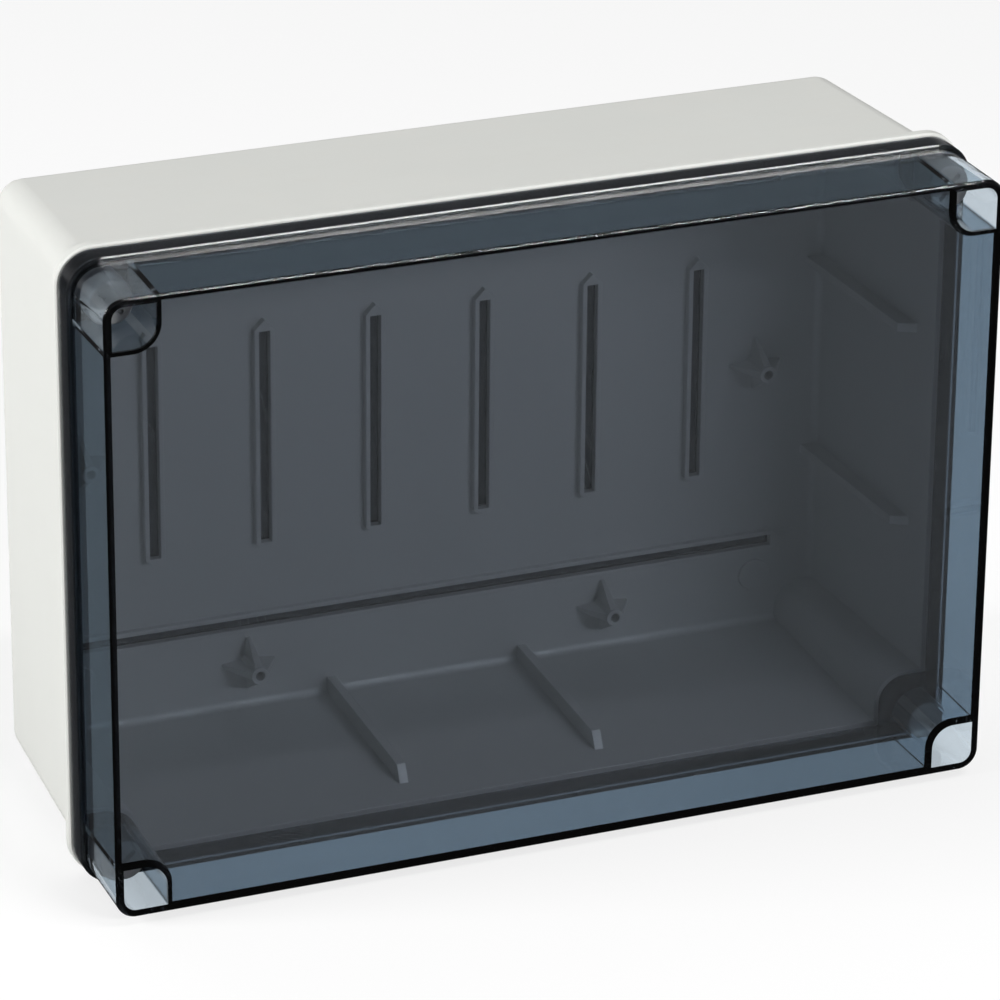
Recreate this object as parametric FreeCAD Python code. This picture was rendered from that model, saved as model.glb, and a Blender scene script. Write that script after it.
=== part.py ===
import FreeCAD, Part
import math
import os

from FreeCAD import Vector

# Wall-mounted junction box: a light grey moulded base with a deep smoked clear lid.
# The lid is held by four corner screws that sit at the bottom of open wells.
# Frame: X runs across the width, Z is up, Y points into the wall.
# The origin is the centre of the back face, so the lid's face lies at Y = -overall_depth.
# All sizes are in millimetres.

# Overall size
overall_width = 300.0
overall_height = 210.0
overall_depth = 120.0
lid_depth = 37.5

# Flange round the mouth of the base
flange_corner_radius = 12.0
flange_thickness = 4.0
flange_edge_chamfer = 0.6

# Skirt of the lid, with a groove that takes the gasket and the base's tongue
skirt_inset = 0.8
skirt_wall = 1.0
skirt_length = 8.7
skirt_edge_chamfer = 0.4
lid_seat_gap = 0.3
tongue_width = 1.5
tongue_height = 5.0
tongue_clearance = 0.15
gasket_thickness = 2.5
gasket_side_clearance = 0.1

# Base walls
base_wall = 2.8
base_mouth_inset = 6.5
back_wall = 3.0
base_draft_degrees = 2.0
rear_corner_radius = 8.0
rear_edge_radius = 5.0
inner_edge_radius = 2.5

# Lid walls
lid_wall = 2.5
lid_face = 2.5
lid_back_inset = 2.3
lid_draft_degrees = 1.1
lid_front_corner_radius = 6.5
lid_front_edge_radius = 0.8

# Corner wells of the lid and corner pillars of the base
screw_inset = 12.3
well_radius = 7.3
well_wall = 1.9
well_floor_thickness = 3.7
pillar_radius = 10.5

# Lid screws
screw_head_radius = 6.3
screw_head_height = 14.5
screw_head_chamfer = 0.7
screw_shank_radius = 2.5
screw_shank_length = 16.5
screw_tip_chamfer = 0.6
screw_hole_clearance = 0.3
screw_slot_width = 1.6
screw_slot_length = 9.6
screw_slot_depth = 2.4

# Rubber washer under each screw head
seal_inner_clearance = 0.35
seal_width = 1.5
seal_thickness = 1.1
seal_seat_clearance = 0.1

# Spring clip that keeps each screw in the lid
clip_width = 1.5
clip_thickness = 0.8
clip_grip_clearance = 0.03
clip_play = 0.1
clip_recess_clearance = 0.5
clip_recess_depth = 1.8

# Brass insert in each pillar
insert_length = 10.0
insert_wall = 1.9
insert_running_clearance = 0.05
insert_seat_clearance = 0.04
pillar_hole_end_clearance = 1.5

# Slots and long grooves with raised rims on the inside of the back wall
slot_count = 6
slot_pitch = 38.0
slot_length = 74.0
slot_width = 3.8
slot_rim_width = 1.5
slot_rim_height = 2.4
slot_point_rise = 2.4
slot_foot_chamfer = 1.2
slot_depth = 1.7
rail_length = 248.0
rail_height_offset = 65.0

# Finned bosses for a mounting plate
plate_boss_spacing_x = 126.0
plate_boss_spacing_z = 160.0
side_boss_spacing_x = 234.0
boss_height = 12.0
boss_radius = 2.9
boss_hole_radius = 1.6
boss_hole_end_wall = 1.5
boss_fin_reach = 9.0
boss_fin_thickness = 2.6
boss_fin_tip_width = 1.2
boss_fin_top = 1.2

# Wall fixing points, closed by a thin web until they are knocked through
fixing_spacing_x = 238.0
fixing_spacing_z = 156.0
fixing_hole_radius = 2.6
fixing_pad_radius = 5.5
fixing_pad_height = 1.0
fixing_web = 0.8

# Stiffening ribs, two on each side wall
rib_offset = 34.0
rib_height = 5.5
rib_thickness = 3.0
rib_front_distance = 12.0
rib_taper_length = 3.0

# Places worked out from the sizes
front_y = -overall_depth
parting_y = front_y + lid_depth
flange_back_y = parting_y + flange_thickness
lid_back_y = parting_y - lid_seat_gap
skirt_front_y = lid_back_y - skirt_length
tongue_front_y = parting_y - tongue_height
groove_front_y = tongue_front_y - gasket_thickness
inner_back_y = -back_wall

groove_outer_inset = skirt_inset + skirt_wall
tongue_outer_inset = groove_outer_inset + tongue_clearance
tongue_inner_inset = tongue_outer_inset + tongue_width
groove_inner_inset = tongue_inner_inset + tongue_clearance
body_inset = base_mouth_inset - base_wall
base_slope = math.tan(math.radians(base_draft_degrees))
lid_slope = math.tan(math.radians(lid_draft_degrees))

well_floor_y = lid_back_y - well_floor_thickness
screw_x = overall_width / 2 - screw_inset
screw_z = overall_height / 2 - screw_inset
screw_hole_radius = screw_shank_radius + screw_hole_clearance
seal_inner_radius = screw_shank_radius + seal_inner_clearance
seal_outer_radius = seal_inner_radius + seal_width
seal_seat_radius = seal_outer_radius + seal_seat_clearance
seal_seat_depth = seal_thickness
clip_radius = screw_shank_radius + clip_width
clip_recess_radius = clip_radius + clip_recess_clearance
insert_y = parting_y + clip_recess_depth
insert_bore_radius = screw_shank_radius + insert_running_clearance
insert_radius = insert_bore_radius + insert_wall
insert_hole_radius = insert_radius + insert_seat_clearance
screw_tip_y = well_floor_y + screw_shank_length

# Each corner as its number and its two signs, clockwise from the top left as seen from the front
corners = [(1, -1, 1), (2, 1, 1), (3, 1, -1), (4, -1, -1)]

INTO_WALL = Vector(0, 1, 0)
OUT_OF_WALL = Vector(0, -1, 0)


def outline_edges(inset, radius, y):
    """Arcs and lines across the box at one depth, in order, set in from the overall size."""
    half_x = overall_width / 2 - inset
    half_z = overall_height / 2 - inset
    bow = radius * (1 - math.sqrt(0.5))
    arcs = []
    for sx, sz in ((1, 1), (-1, 1), (-1, -1), (1, -1)):
        beside = Vector(sx * half_x, y, sz * (half_z - radius))
        middle = Vector(sx * (half_x - bow), y, sz * (half_z - bow))
        above = Vector(sx * (half_x - radius), y, sz * half_z)
        start, end = (beside, above) if sx == sz else (above, beside)
        arcs.append(Part.Arc(start, middle, end).toShape())
    edges = []
    for index, arc in enumerate(arcs):
        following = arcs[(index + 1) % len(arcs)]
        edges.append(arc)
        edges.append(Part.makeLine(arc.lastVertex().Point, following.firstVertex().Point))
    return edges


def block_between(first, second):
    """Solid whose flat sides and rounded corners run straight from one outline to the other."""
    sides = [Part.Face(Part.Wire(first)), Part.Face(Part.Wire(second))]
    for near, far in zip(first, second):
        if near.Curve.TypeId == "Part::GeomLine":
            a, b = near.firstVertex().Point, near.lastVertex().Point
            c, d = far.lastVertex().Point, far.firstVertex().Point
            sides.append(Part.Face(Part.makePolygon([a, b, c, d, a])))
        else:
            sides.append(Part.makeRuledSurface(near, far))
    shell = Part.Shell(sides)
    shell.sewShape()
    return Part.makeSolid(shell)


def straight_block(inset, y_start, y_end):
    """Rounded block of one section, with its corners concentric with the flange's."""
    face = Part.Face(Part.Wire(outline_edges(inset, flange_corner_radius - inset, y_start)))
    return face.extrude(Vector(0, y_end - y_start, 0))


def rim_band(outer_inset, inner_inset, y_start, y_end):
    """Band that runs round the box between two insets."""
    return straight_block(outer_inset, y_start, y_end).cut(
        straight_block(inner_inset, y_start, y_end)
    )


def edges_at_depth(shape, y):
    """Edges of a shape that lie wholly at one depth."""
    tolerance = 1e-6
    found = []
    for edge in shape.Edges:
        box = edge.BoundBox
        if abs(box.YMin - y) < tolerance and abs(box.YMax - y) < tolerance:
            found.append(edge)
    return found


def base_draft_at(y):
    """How far the base's drafted walls have come in at a depth, from the parting plane."""
    return (y - parting_y) * base_slope


def base_outline(y, inset, front_radius, rear_radius):
    """Outline of a drafted wall of the base, with its corner radius easing towards the rear."""
    share = (y - parting_y) / (0 - parting_y)
    radius = front_radius + share * (rear_radius - front_radius)
    return outline_edges(inset + base_draft_at(y), radius, y)


def lid_outline(y, inward):
    """Outline of the lid's outer wall at a depth, or of a face set inward from it."""
    share = (lid_back_y - y) / (lid_back_y - front_y)
    back_radius = flange_corner_radius - lid_back_inset
    radius = back_radius + share * (lid_front_corner_radius - back_radius)
    inset = lid_back_inset + (lid_back_y - y) * lid_slope
    return outline_edges(inset + inward, radius - inward, y)


def corner_prism(sx, sz, radius, y_start, y_end):
    """Corner column, open to the two outer walls and rounded about the screw's axis."""
    reach_x = overall_width / 2
    reach_z = overall_height / 2
    slant = radius * math.sqrt(0.5)

    def at(x, z):
        return Vector(sx * x, y_start, sz * z)

    arc = Part.Arc(
        at(screw_x - radius, screw_z),
        at(screw_x - slant, screw_z - slant),
        at(screw_x, screw_z - radius),
    )
    sides = Part.makePolygon(
        [
            at(screw_x, screw_z - radius),
            at(reach_x, screw_z - radius),
            at(reach_x, reach_z),
            at(screw_x - radius, reach_z),
            at(screw_x - radius, screw_z),
        ]
    )
    face = Part.Face(Part.Wire([arc.toShape()] + sides.Edges))
    return face.extrude(Vector(0, y_end - y_start, 0))


def round_bar(radius, x, z, y_start, y_end):
    """Round bar parallel to Y between two depths."""
    return Part.makeCylinder(radius, y_end - y_start, Vector(x, y_start, z), INTO_WALL)


def turned(points, x, z):
    """Solid turned about a line parallel to Y, from (radius, depth) points."""
    corners_of_profile = [Vector(x + radius, y, z) for radius, y in points]
    profile = Part.makePolygon(corners_of_profile + corners_of_profile[:1])
    return Part.Face(profile).revolve(Vector(x, 0, z), INTO_WALL, 360)


def ring(inner_radius, outer_radius, x, z, y_start, y_end):
    """Flat ring about a line parallel to Y."""
    return round_bar(outer_radius, x, z, y_start, y_end).cut(
        round_bar(inner_radius, x, z, y_start, y_end)
    )


def slot_pair(length, both_ends_pointed):
    """Raised frame of an upright slot, pointed at its top, and the groove cut through it."""
    half = slot_width / 2 + slot_rim_width
    point = length / 2 + slot_rim_width + slot_point_rise
    foot = length / 2 + slot_rim_width
    y_start = inner_back_y - slot_rim_height
    points = [(half, point - half), (0, point), (-half, point - half)]
    if both_ends_pointed:
        points += [(-half, half - point), (0, -point), (half, half - point)]
    else:
        points += [
            (-half, slot_foot_chamfer - foot),
            (slot_foot_chamfer - half, -foot),
            (half - slot_foot_chamfer, -foot),
            (half, slot_foot_chamfer - foot),
        ]
    outline = [Vector(x, y_start, z) for x, z in points]
    face = Part.Face(Part.makePolygon(outline + outline[:1]))
    rim = face.extrude(Vector(0, slot_rim_height, 0))
    groove = Part.makeBox(
        slot_width,
        slot_rim_height + slot_depth,
        length,
        Vector(-slot_width / 2, y_start, -length / 2),
    )
    return rim, groove


def back_wall_slots():
    """Rims and grooves of the upright slots and of the two long grooves."""
    rims = []
    grooves = []
    for index in range(slot_count):
        x = (index - (slot_count - 1) / 2) * slot_pitch
        for shape, group in zip(slot_pair(slot_length, False), (rims, grooves)):
            shape.translate(Vector(x, 0, 0))
            group.append(shape)
    for side in (-1, 1):
        for shape, group in zip(slot_pair(rail_length, True), (rims, grooves)):
            shape.rotate(Vector(0, 0, 0), INTO_WALL, 90)
            shape.translate(Vector(0, 0, side * rail_height_offset))
            group.append(shape)
    return rims, grooves


def boss_places():
    """Centres of the mounting plate bosses on the back wall."""
    half_x = plate_boss_spacing_x / 2
    half_z = plate_boss_spacing_z / 2
    places = [(sx * half_x, sz * half_z) for sx in (-1, 1) for sz in (-1, 1)]
    places += [(side * side_boss_spacing_x / 2, 0) for side in (-1, 1)]
    return places


def finned_boss(x, z):
    """Short tube on the back wall, held by four sloping fins that narrow outwards."""
    top_y = inner_back_y - boss_height
    boss = round_bar(boss_radius, x, z, top_y, inner_back_y)
    half = boss_fin_thickness / 2
    half_tip = boss_fin_tip_width / 2
    plan = [
        Vector(0, top_y, -half),
        Vector(boss_radius, top_y, -half),
        Vector(boss_fin_reach, top_y, -half_tip),
        Vector(boss_fin_reach, top_y, half_tip),
        Vector(boss_radius, top_y, half),
        Vector(0, top_y, half),
    ]
    slope = [
        Vector(0, inner_back_y, -half),
        Vector(boss_fin_reach, inner_back_y, -half),
        Vector(boss_fin_reach, inner_back_y - boss_fin_top, -half),
        Vector(boss_radius, top_y + boss_fin_top, -half),
        Vector(0, top_y + boss_fin_top, -half),
    ]
    block = Part.Face(Part.makePolygon(plan + plan[:1])).extrude(Vector(0, boss_height, 0))
    side = Part.Face(Part.makePolygon(slope + slope[:1])).extrude(Vector(0, 0, 2 * half))
    fin = block.common(side)
    fins = []
    for quarter in range(4):
        turned_fin = fin.copy()
        turned_fin.rotate(Vector(0, 0, 0), INTO_WALL, 90 * quarter)
        turned_fin.translate(Vector(x, 0, z))
        fins.append(turned_fin)
    return boss.multiFuse(fins)


def side_rib(half_size):
    """Rib on the upper wall of a cavity whose half height at the parting plane is given."""
    front = parting_y + rib_front_distance
    eased = front + rib_taper_length
    inside_wall = base_wall / 2

    def wall_at(y):
        return half_size - base_mouth_inset - base_draft_at(y)

    points = [
        (inner_back_y, wall_at(inner_back_y) + inside_wall),
        (inner_back_y, wall_at(inner_back_y) - rib_height),
        (eased, wall_at(eased) - rib_height),
        (front, wall_at(front)),
        (front, wall_at(front) + inside_wall),
    ]
    outline = [Vector(-rib_thickness / 2, y, z) for y, z in points]
    face = Part.Face(Part.makePolygon(outline + outline[:1]))
    return face.extrude(Vector(rib_thickness, 0, 0))


def wall_ribs():
    """Two ribs on each of the four side walls."""
    ribs = []
    for turn, half_size in ((0, overall_height / 2), (90, overall_width / 2)):
        for half_turn in (0, 180):
            for side in (-1, 1):
                rib = side_rib(half_size)
                rib.translate(Vector(side * rib_offset, 0, 0))
                rib.rotate(Vector(0, 0, 0), INTO_WALL, turn + half_turn)
                ribs.append(rib)
    return ribs


def fixing_places():
    """Centres of the wall fixing points."""
    half_x = fixing_spacing_x / 2
    half_z = fixing_spacing_z / 2
    return [(sx * half_x, sz * half_z) for sx in (-1, 1) for sz in (-1, 1)]


def make_base():
    """Grey base: drafted tray with flange, tongue, pillars, bosses, slots and ribs."""
    front_radius = flange_corner_radius - body_inset
    body = block_between(
        base_outline(parting_y, body_inset, front_radius, rear_corner_radius),
        base_outline(0, body_inset, front_radius, rear_corner_radius),
    )
    body = body.makeFillet(rear_edge_radius, edges_at_depth(body, 0))
    flange = straight_block(0, parting_y, flange_back_y)
    flange = flange.makeChamfer(
        flange_edge_chamfer,
        edges_at_depth(flange, parting_y) + edges_at_depth(flange, flange_back_y),
    )
    tongue = rim_band(tongue_outer_inset, tongue_inner_inset, tongue_front_y, parting_y)

    cavity_radius = flange_corner_radius - base_mouth_inset
    inner_rear_radius = rear_corner_radius - base_wall
    cavity = block_between(
        base_outline(parting_y, base_mouth_inset, cavity_radius, inner_rear_radius),
        base_outline(inner_back_y, base_mouth_inset, cavity_radius, inner_rear_radius),
    )
    cavity = cavity.makeFillet(inner_edge_radius, edges_at_depth(cavity, inner_back_y))
    shell = body.fuse(flange).cut(cavity).fuse(tongue)

    pillars = []
    for _, sx, sz in corners:
        pillar = corner_prism(sx, sz, pillar_radius, parting_y, 0)
        pillars.append(pillar.common(body))
    rims, grooves = back_wall_slots()
    bosses = [finned_boss(x, z) for x, z in boss_places()]
    pads = [
        round_bar(fixing_pad_radius, x, z, inner_back_y - fixing_pad_height, inner_back_y)
        for x, z in fixing_places()
    ]
    shell = shell.multiFuse(pillars + rims + bosses + pads + wall_ribs())

    holes = []
    for _, sx, sz in corners:
        x = sx * screw_x
        z = sz * screw_z
        insert_end_y = insert_y + insert_length
        hole_end_y = screw_tip_y + pillar_hole_end_clearance
        holes.append(round_bar(clip_recess_radius, x, z, parting_y, insert_y))
        holes.append(round_bar(insert_hole_radius, x, z, insert_y, insert_end_y))
        holes.append(round_bar(screw_hole_radius, x, z, insert_end_y, hole_end_y))
    for x, z in boss_places():
        boss_front_y = inner_back_y - boss_height
        holes.append(
            round_bar(boss_hole_radius, x, z, boss_front_y, inner_back_y - boss_hole_end_wall)
        )
    for x, z in fixing_places():
        web_y = inner_back_y - fixing_pad_height + fixing_web
        holes.append(round_bar(fixing_hole_radius, x, z, web_y, 0))
    return shell.cut(holes + grooves).removeSplitter()


def make_gasket():
    """Rubber ring at the bottom of the lid's groove, on which the tongue presses."""
    return rim_band(
        groove_outer_inset + gasket_side_clearance,
        groove_inner_inset - gasket_side_clearance,
        groove_front_y,
        tongue_front_y,
    )


def make_lid():
    """Smoked clear lid: drafted cover with a grooved skirt and a screw well in each corner."""
    outer = block_between(lid_outline(front_y, 0), lid_outline(lid_back_y, 0))
    outer = outer.makeFillet(lid_front_edge_radius, edges_at_depth(outer, front_y))
    skirt = straight_block(skirt_inset, skirt_front_y, lid_back_y)
    skirt = skirt.makeChamfer(
        skirt_edge_chamfer, edges_at_depth(skirt, skirt_front_y) + edges_at_depth(skirt, lid_back_y)
    )
    face_back_y = front_y + lid_face
    hollow = block_between(
        lid_outline(face_back_y, lid_wall), lid_outline(lid_back_y, lid_wall)
    )
    shell = outer.fuse(skirt).cut(hollow)

    wells = []
    for _, sx, sz in corners:
        column = corner_prism(sx, sz, well_radius + well_wall, front_y, lid_back_y)
        wells.append(column.common(outer))
    shell = shell.multiFuse(wells)

    inside_walls = block_between(
        lid_outline(front_y, lid_wall), lid_outline(lid_back_y, lid_wall)
    )
    voids = [rim_band(groove_outer_inset, groove_inner_inset, groove_front_y, lid_back_y)]
    for _, sx, sz in corners:
        x = sx * screw_x
        z = sz * screw_z
        seat_y = well_floor_y + seal_seat_depth
        mouth = corner_prism(sx, sz, well_radius, front_y, well_floor_y)
        voids.append(mouth.common(inside_walls))
        voids.append(round_bar(seal_seat_radius, x, z, well_floor_y, seat_y))
        voids.append(round_bar(screw_hole_radius, x, z, seat_y, lid_back_y))
    return shell.cut(voids).removeSplitter()


def make_screw(sx, sz):
    """Lid screw with a tall slotted head and a plain shank, locked with its slot at 45 degrees."""
    x = sx * screw_x
    z = sz * screw_z
    head_y = well_floor_y - screw_head_height
    screw = turned(
        [
            (0, head_y),
            (screw_head_radius - screw_head_chamfer, head_y),
            (screw_head_radius, head_y + screw_head_chamfer),
            (screw_head_radius, well_floor_y),
            (screw_shank_radius, well_floor_y),
            (screw_shank_radius, screw_tip_y - screw_tip_chamfer),
            (screw_shank_radius - screw_tip_chamfer, screw_tip_y),
            (0, screw_tip_y),
        ],
        x,
        z,
    )
    slot = Part.makeBox(
        screw_slot_length,
        screw_slot_depth,
        screw_slot_width,
        Vector(x - screw_slot_length / 2, head_y, z - screw_slot_width / 2),
    )
    slot.rotate(Vector(x, 0, z), INTO_WALL, 45 * sx * sz)
    return screw.cut(slot)


def make_seal(sx, sz):
    """Rubber washer in its seat in the well's floor, under the screw head."""
    return ring(
        seal_inner_radius,
        seal_outer_radius,
        sx * screw_x,
        sz * screw_z,
        well_floor_y,
        well_floor_y + seal_thickness,
    )


def make_clip(sx, sz):
    """Spring clip on the shank, just behind the well's floor."""
    clip_y = lid_back_y + clip_play
    return ring(
        screw_shank_radius + clip_grip_clearance,
        clip_radius,
        sx * screw_x,
        sz * screw_z,
        clip_y,
        clip_y + clip_thickness,
    )


def make_insert(sx, sz):
    """Brass insert in the pillar, in which the screw turns."""
    return ring(
        insert_bore_radius,
        insert_radius,
        sx * screw_x,
        sz * screw_z,
        insert_y,
        insert_y + insert_length,
    )


def make_pieces():
    """Every piece of the box by its name."""
    pieces = {
        "base_shell": make_base(),
        "rim_gasket": make_gasket(),
        "clear_lid": make_lid(),
    }
    for number, sx, sz in corners:
        pieces[f"lid_screw_{number}"] = make_screw(sx, sz)
        pieces[f"screw_seal_{number}"] = make_seal(sx, sz)
        pieces[f"screw_clip_{number}"] = make_clip(sx, sz)
        pieces[f"screw_insert_{number}"] = make_insert(sx, sz)
    return pieces


os.makedirs("parts", exist_ok=True)
for name, shape in make_pieces().items():
    shape.exportStep(f"parts/{name}.step")
    print(name, "solids", len(shape.Solids), "volume", round(shape.Volume, 1), shape.isValid())
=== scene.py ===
"""Looks of a wall-mounted junction box with a light grey base and a deep smoked clear lid.

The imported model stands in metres: X across the width, Z up, Y into the wall, with the origin
at the centre of the back face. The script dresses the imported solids, and makes the small
hardware and the rubber parts again in finer detail.
"""

import logging
import math
from dataclasses import dataclass, field
from enum import Enum

import bmesh
import bpy
from mathutils import Euler, Matrix, Vector


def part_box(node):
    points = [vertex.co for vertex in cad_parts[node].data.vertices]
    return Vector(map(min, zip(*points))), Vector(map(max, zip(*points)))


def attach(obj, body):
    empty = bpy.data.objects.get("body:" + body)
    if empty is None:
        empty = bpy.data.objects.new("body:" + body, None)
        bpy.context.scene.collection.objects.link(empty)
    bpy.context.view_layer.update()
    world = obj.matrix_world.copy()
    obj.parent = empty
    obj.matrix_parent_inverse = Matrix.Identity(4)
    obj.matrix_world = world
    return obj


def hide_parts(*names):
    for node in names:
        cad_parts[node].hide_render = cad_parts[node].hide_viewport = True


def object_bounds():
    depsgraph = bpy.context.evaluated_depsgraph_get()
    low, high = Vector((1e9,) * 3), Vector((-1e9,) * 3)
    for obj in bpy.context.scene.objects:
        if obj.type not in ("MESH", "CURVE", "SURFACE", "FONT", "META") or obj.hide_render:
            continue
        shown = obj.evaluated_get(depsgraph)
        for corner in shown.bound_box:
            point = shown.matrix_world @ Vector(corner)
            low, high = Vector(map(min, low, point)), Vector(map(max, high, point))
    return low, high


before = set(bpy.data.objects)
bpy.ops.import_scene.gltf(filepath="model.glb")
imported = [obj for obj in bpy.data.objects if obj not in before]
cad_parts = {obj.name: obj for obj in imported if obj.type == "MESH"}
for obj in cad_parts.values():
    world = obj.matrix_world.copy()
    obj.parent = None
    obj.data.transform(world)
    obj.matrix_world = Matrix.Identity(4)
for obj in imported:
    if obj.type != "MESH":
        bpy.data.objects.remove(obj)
cad_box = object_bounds()

LOG = logging.getLogger("junction_box")
MM = 0.001

Colour = tuple[float, float, float, float]
Profile = list[tuple[float, float]]
Ring = list[bmesh.types.BMVert]


class Body(str, Enum):
    """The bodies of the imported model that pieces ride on."""

    BASE = "base"
    LID = "lid"


class Slot(str, Enum):
    """Names of the material slots."""

    GREY_SHELL = "grey_shell"
    SMOKED_CLEAR = "smoked_clear"
    BLACK_RUBBER = "black_rubber"
    SCREW_PLASTIC = "screw_plastic"
    SPRING_STEEL = "spring_steel"
    INSERT_BRASS = "insert_brass"


def srgb(red: int, green: int, blue: int) -> Colour:
    """Linear colour of an 8-bit screen colour.

    Args:
        red: Red from 0 to 255.
        green: Green from 0 to 255.
        blue: Blue from 0 to 255.

    Returns:
        The linear colour with full alpha.
    """

    def linear(value: int) -> float:
        """Linear value of one 8-bit channel."""
        share = value / 255
        return share / 12.92 if share <= 0.04045 else ((share + 0.055) / 1.055) ** 2.4

    return (linear(red), linear(green), linear(blue), 1.0)


class Nodes:
    """Short hand for adding and joining shader nodes in one node tree."""

    def __init__(self, tree: bpy.types.NodeTree) -> None:
        """Keeps the tree that nodes are added to.

        Args:
            tree: Node tree of a material or of a node group.
        """
        self.tree = tree

    def add(self, kind: str, **settings: object) -> bpy.types.Node:
        """Adds a node.

        Args:
            kind: Node type, without its "ShaderNode" prefix.
            settings: Properties of the node.

        Returns:
            The new node.
        """
        node = self.tree.nodes.new("ShaderNode" + kind)
        for name, value in settings.items():
            setattr(node, name, value)
        return node

    def put(self, target: bpy.types.NodeSocket, value: object) -> None:
        """Links a socket to a socket, or sets it to a value.

        Args:
            target: Input socket.
            value: Output socket, number, vector or colour.
        """
        if isinstance(value, bpy.types.NodeSocket):
            self.tree.links.new(value, target)
        else:
            target.default_value = value

    def maths(self, operation: str, *values: object, clamp: bool = False) -> bpy.types.NodeSocket:
        """Adds a Math node.

        Args:
            operation: Name of the operation.
            values: Inputs in order, each a number or an output socket.
            clamp: True to keep the result from 0 to 1.

        Returns:
            The result's socket.
        """
        node = self.add("Math", operation=operation, use_clamp=clamp)
        for socket, value in zip(node.inputs, values):
            self.put(socket, value)
        return node.outputs[0]

    def mix(self, factor: object, first: object, second: object) -> bpy.types.NodeSocket:
        """Mixes two colours.

        Args:
            factor: Share of the second colour.
            first: Colour or output socket.
            second: Colour or output socket.

        Returns:
            The mixed colour's socket.
        """
        node = self.add("Mix", data_type="RGBA")
        self.put(node.inputs["Factor"], factor)
        self.put(node.inputs[6], first)
        self.put(node.inputs[7], second)
        return node.outputs[2]

    def remap(
        self, value: object, low: float, high: float, to_low: float, to_high: float
    ) -> bpy.types.NodeSocket:
        """Maps one range onto another, smoothly and within its ends.

        Args:
            value: Number or output socket.
            low: Start of the range.
            high: End of the range.
            to_low: What the start becomes.
            to_high: What the end becomes.

        Returns:
            The mapped value's socket.
        """
        node = self.add("MapRange", interpolation_type="SMOOTHSTEP")
        for socket, item in zip(node.inputs, (value, low, high, to_low, to_high)):
            self.put(socket, item)
        return node.outputs[0]

    def place(self, scale: tuple[float, float, float] = (1, 1, 1)) -> bpy.types.NodeSocket:
        """Position on the object in metres, stretched by a scale.

        Args:
            scale: Scale along X, Y and Z.

        Returns:
            The position's socket.
        """
        where = self.add("TexCoord")
        mapping = self.add("Mapping")
        self.put(mapping.inputs["Vector"], where.outputs["Object"])
        self.put(mapping.inputs["Scale"], scale)
        return mapping.outputs[0]

    def noise(
        self, where: object, scale: object, detail: float = 2.0, rough: float = 0.5
    ) -> bpy.types.NodeSocket:
        """Adds noise.

        Args:
            where: Position socket.
            scale: Cells per metre.
            detail: Octaves.
            rough: Strength of the finer octaves.

        Returns:
            The noise's value, from about 0 to 1.
        """
        node = self.add("TexNoise")
        self.put(node.inputs["Vector"], where)
        self.put(node.inputs["Scale"], scale)
        self.put(node.inputs["Detail"], detail)
        self.put(node.inputs["Roughness"], rough)
        return node.outputs["Fac"]


@dataclass(frozen=True)
class GroupSocket:
    """A named socket of a shader node group."""

    name: str
    kind: str = "NodeSocketFloat"
    value: object = None


class SharedGroup:
    """A shader node group that several materials use, built once."""

    name: str = ""
    inputs: tuple[GroupSocket, ...] = ()
    outputs: tuple[GroupSocket, ...] = ()

    @classmethod
    def tree(cls) -> bpy.types.NodeTree:
        """The group's node tree, made on first use.

        Returns:
            The tree.
        """
        made = bpy.data.node_groups.get(cls.name)
        if made is not None:
            return made
        tree = bpy.data.node_groups.new(cls.name, "ShaderNodeTree")
        for sockets, direction in ((cls.inputs, "INPUT"), (cls.outputs, "OUTPUT")):
            for socket in sockets:
                item = tree.interface.new_socket(
                    name=socket.name, in_out=direction, socket_type=socket.kind
                )
                if socket.value is not None:
                    item.default_value = socket.value
        nodes = Nodes(tree)
        source = tree.nodes.new("NodeGroupInput")
        target = tree.nodes.new("NodeGroupOutput")
        cls.build(nodes, source.outputs, target.inputs)
        return tree

    @classmethod
    def build(
        cls,
        nodes: Nodes,
        given: bpy.types.NodeOutputs,
        wanted: bpy.types.NodeInputs,
    ) -> None:
        """Fills the group.

        Args:
            nodes: The group's nodes.
            given: What comes in.
            wanted: What goes out.
        """
        raise NotImplementedError

    @classmethod
    def use(cls, nodes: Nodes, **values: object) -> bpy.types.NodeOutputs:
        """Places the group in a material.

        Args:
            nodes: The material's nodes.
            values: Inputs by name, with underscores for spaces.

        Returns:
            The outputs of the placed group.
        """
        node = nodes.tree.nodes.new("ShaderNodeGroup")
        node.node_tree = cls.tree()
        for name, value in values.items():
            nodes.put(node.inputs[name.replace("_", " ")], value)
        return node.outputs


class MouldGrain(SharedGroup):
    """Fine spark-eroded grain of a moulded surface, with a slight mottle in its shine."""

    name = "mould_grain"
    inputs = (GroupSocket("Scale", value=2600.0), GroupSocket("Mottle", value=0.06))
    outputs = (GroupSocket("Height"), GroupSocket("Shine"))

    @classmethod
    def build(
        cls, nodes: Nodes, given: bpy.types.NodeOutputs, wanted: bpy.types.NodeInputs
    ) -> None:
        """Fills the group with two sizes of grain and a mottle.

        Args:
            nodes: The group's nodes.
            given: The group's input sockets.
            wanted: The group's output sockets.
        """
        where = nodes.place()
        fine = nodes.noise(where, given["Scale"], 3.0, 0.6)
        coarse = nodes.noise(where, nodes.maths("MULTIPLY", given["Scale"], 0.22), 2.0)
        fine = nodes.maths("MULTIPLY", fine, 0.7)
        both = nodes.maths("ADD", fine, nodes.maths("MULTIPLY", coarse, 0.3))
        nodes.put(wanted["Height"], both)
        mottle = nodes.maths("SUBTRACT", nodes.noise(where, 38.0, 4.0), 0.5)
        nodes.put(wanted["Shine"], nodes.maths("MULTIPLY", mottle, given["Mottle"]))


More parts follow.
